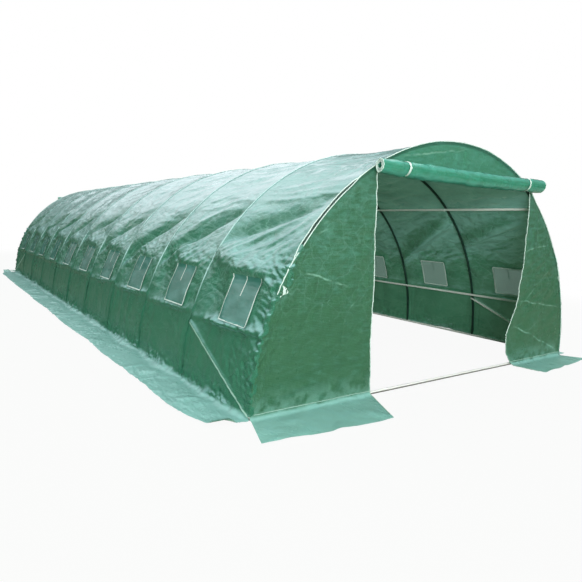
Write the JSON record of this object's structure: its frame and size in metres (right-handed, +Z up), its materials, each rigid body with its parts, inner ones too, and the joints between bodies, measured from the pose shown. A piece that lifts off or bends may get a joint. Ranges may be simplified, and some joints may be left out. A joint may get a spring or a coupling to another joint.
{
  "type": "polytunnel greenhouse",
  "caption": "Walk-in tunnel greenhouse: round steel hoops under a green woven sheet, with a rolled-up door at each end, mesh windows and ground skirts.",
  "frame": {"origin": "on the ground under the middle of the tunnel", "axes": "+Y along the tunnel to the rear end, so the front doorway faces -Y; +X to the right as seen from the front; +Z up"},
  "size_m": [4.7006, 10.7006, 2.0033],
  "materials": {
    "hoop_paint": "satin dark green paint on bent steel tube",
    "zinc_tube": "dull zinc-coated steel tube",
    "green_sheet": "glossy translucent woven plastic sheet",
    "white_webbing": "flat woven tape",
    "window_mesh": "fine grey insect mesh",
    "clear_sheet": "pale see-through woven plastic sheet"
  },
  "bodies": {
    "root": {"hoop_1": "hoop_paint", "hoop_2": "hoop_paint", "hoop_3": "hoop_paint", "hoop_4": "hoop_paint", "hoop_5": "hoop_paint", "hoop_6": "hoop_paint", "hoop_7": "hoop_paint", "hoop_8": "hoop_paint", "hoop_9": "hoop_paint", "hoop_10": "hoop_paint", "hoop_11": "hoop_paint", "ridge_purlin": "zinc_tube", "upper_purlin_left": "zinc_tube", "upper_purlin_right": "zinc_tube", "side_purlin_left": "zinc_tube", "side_purlin_right": "zinc_tube", "base_rail_left": "zinc_tube", "base_rail_right": "zinc_tube", "front_sill": "zinc_tube", "rear_sill": "zinc_tube", "brace_front_left": "zinc_tube", "brace_front_right": "zinc_tube", "brace_rear_left": "zinc_tube", "brace_rear_right": "zinc_tube", "cover": "green_sheet", "front_panel_left": "green_sheet", "front_panel_right": "green_sheet", "rear_panel_left": "green_sheet", "rear_panel_right": "green_sheet", "front_cap": "green_sheet", "rear_cap": "green_sheet", "front_door_roll": "green_sheet", "rear_door_roll": "green_sheet", "front_door_ties": "white_webbing", "rear_door_ties": "white_webbing", "window_screens_left": "window_mesh", "window_screens_right": "window_mesh", "window_flaps_left": "clear_sheet", "window_flaps_right": "clear_sheet", "skirt_left": "green_sheet", "skirt_right": "green_sheet", "front_skirt_left": "green_sheet", "front_skirt_right": "green_sheet", "rear_skirt_left": "green_sheet", "rear_skirt_right": "green_sheet"}
  },
  "joints": []
}
